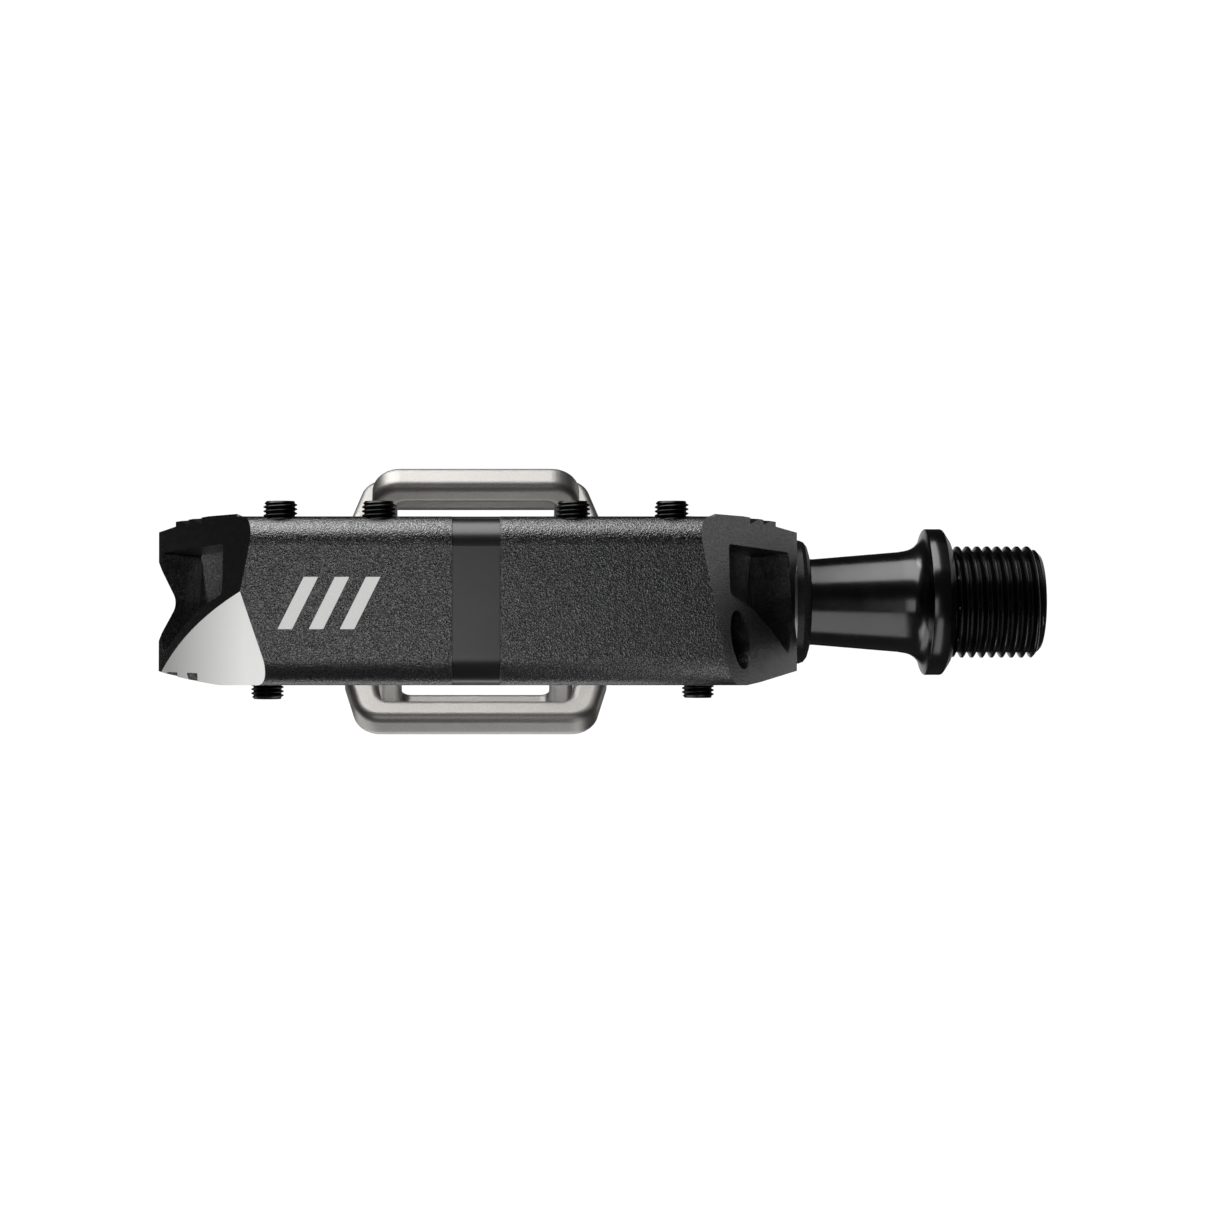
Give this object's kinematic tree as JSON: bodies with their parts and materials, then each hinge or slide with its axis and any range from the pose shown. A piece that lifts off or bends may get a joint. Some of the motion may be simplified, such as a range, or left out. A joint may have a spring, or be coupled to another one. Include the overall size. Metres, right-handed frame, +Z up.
{
  "type": "clipless pedal",
  "caption": "Two-sided clipless platform pedal: octagonal alloy cage with set-screw pins, sprung looped wings that grip a cleat, and a flanged spindle with a crank thread.",
  "frame": {"origin": "centre of the crank shoulder, where the spindle's flange meets the crank arm", "axes": "+X along the spindle's axis into the crank, +Z up from the pedal's upper face, -Y towards the front edge"},
  "size_m": [0.1116, 0.076, 0.0328],
  "materials": {
    "body_alloy": "bead-blasted, dark anodised, one bare machined corner",
    "wing_steel": "satin cast stainless",
    "spindle_steel": "black, semi-gloss",
    "pin_steel": "black oxide",
    "seal_rubber": "soft black",
    "bearing_steel": "ground",
    "sleeve_steel": "turned",
    "spring_steel": "drawn wire",
    "bushing_polymer": "moulded",
    "pad_polymer": "moulded, grained",
    "cap_alloy": "turned, dark anodised"
  },
  "bodies": {
    "spindle": {"spindle": "spindle_steel", "spindle_end_nut": "bearing_steel", "end_washer": "bearing_steel", "bearing_inner_ring": "bearing_steel", "bearing_balls": "bearing_steel"},
    "cage": {"bearing_outer_ring": "bearing_steel", "bearing_shields": "sleeve_steel", "core_sleeve": "sleeve_steel", "inboard_bushing": "bushing_polymer", "inboard_seal": "seal_rubber", "inboard_end_washer": "sleeve_steel", "end_cap": "cap_alloy", "end_cap_o_ring": "seal_rubber", "pedal_body": "body_alloy", "top_front_pins": "pin_steel", "bottom_back_pins": "pin_steel", "top_back_pins": "pin_steel", "bottom_front_pins": "pin_steel", "top_outboard_pad": "pad_polymer", "bottom_outboard_pad": "pad_polymer", "top_inboard_pad": "pad_polymer", "bottom_inboard_pad": "pad_polymer", "outboard_wing_washer": "bushing_polymer", "inboard_wing_washer": "bushing_polymer", "pad_screws": "pin_steel", "wing_spring": "spring_steel"},
    "inner_wing": {"inner_wing": "wing_steel"},
    "outer_wing": {"outer_wing": "wing_steel"}
  },
  "joints": [
    {"name": "cage_spin", "type": "hinge", "parent": "spindle", "child": "cage", "pos_m": [-0.0604, 0, 0], "axis": [1, 0, 0], "continuous": true},
    {"name": "inner_wing_open", "type": "hinge", "parent": "cage", "child": "inner_wing", "pos_m": [-0.0604, 0, 0], "axis": [1, 0, 0], "range_deg": [0, 15], "stiffness_Nm_per_rad": 3, "deforming": ["wing_spring"]},
    {"name": "outer_wing_open", "type": "hinge", "parent": "cage", "child": "outer_wing", "pos_m": [-0.0604, 0, 0], "axis": [1, 0, 0], "range_deg": [-15, 0], "stiffness_Nm_per_rad": 3}
  ]
}
